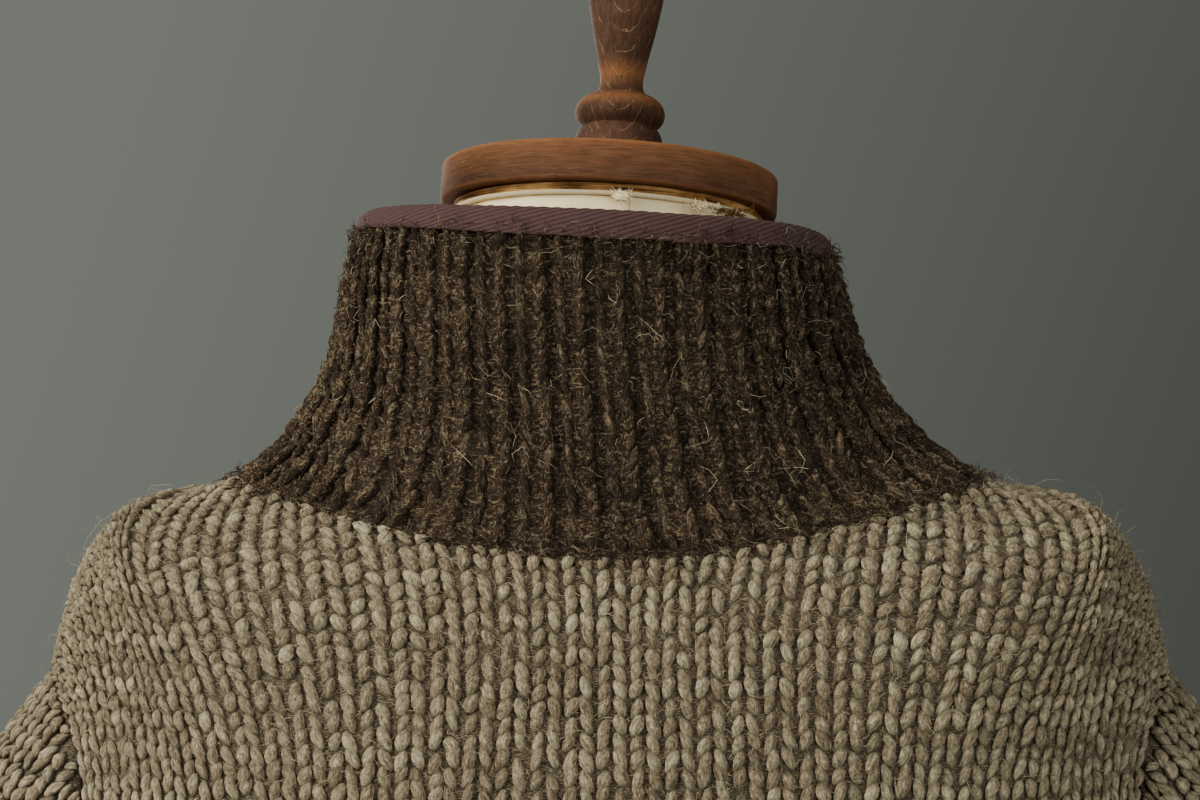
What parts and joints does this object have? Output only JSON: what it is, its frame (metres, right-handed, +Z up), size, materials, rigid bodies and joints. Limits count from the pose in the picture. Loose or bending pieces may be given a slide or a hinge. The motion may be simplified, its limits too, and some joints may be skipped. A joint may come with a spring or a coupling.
{
  "type": "zip mock neck sweater on a limbless dress form",
  "caption": "Chunky knitted mock neck sweater with a short front zip and a dark ribbed collar, worn by a limbless dress form with wooden neck cap, finial and stand",
  "frame": {"origin": "on the floor at the centre of the stand's base", "axes": "+Z up along the stand and the form, -Y out of the chest where the zip is, +X to the wearer's left"},
  "size_m": [0.6128, 0.42, 1.6354],
  "materials": {
    "oat_wool": "chunky marled wool in stocking stitch, matt and slightly hairy",
    "brown_wool": "dark brown ribbed wool with pale stray hairs",
    "plum_twill": "dusty plum twill tape with slanting ridges",
    "zip_tape": "woven brown zip tape",
    "aged_brass": "dull aged brass",
    "linen": "cream linen, plain weave",
    "brown_wood": "stained, waxed and scratched",
    "worn_wood": "golden brown where the finish is worn off"
  },
  "bodies": {
    "sweater_and_form": {"back": "oat_wool", "front": "oat_wool", "hem_rib_back": "oat_wool", "hem_rib_front": "oat_wool", "sleeve_left": "oat_wool", "sleeve_right": "oat_wool", "cuff_left": "oat_wool", "cuff_right": "oat_wool", "collar": "brown_wool", "collar_binding": "plum_twill", "zip_tape_left": "zip_tape", "zip_tape_right": "zip_tape", "zip_slider": "aged_brass", "zip_stop": "aged_brass", "form_torso": "linen", "neck_cap": "brown_wood", "finial": "brown_wood", "neck_ring": "worn_wood", "stand_pole": "brown_wood", "stand_base": "brown_wood"},
    "pull_tab": {"zip_pull": "aged_brass"}
  },
  "joints": [
    {"name": "pull_tab_swing", "type": "hinge", "parent": "sweater_and_form", "child": "pull_tab", "pos_m": [0, -0.0756, 1.43818], "axis": [-1, 0, 0], "range_deg": [0, 150]}
  ]
}
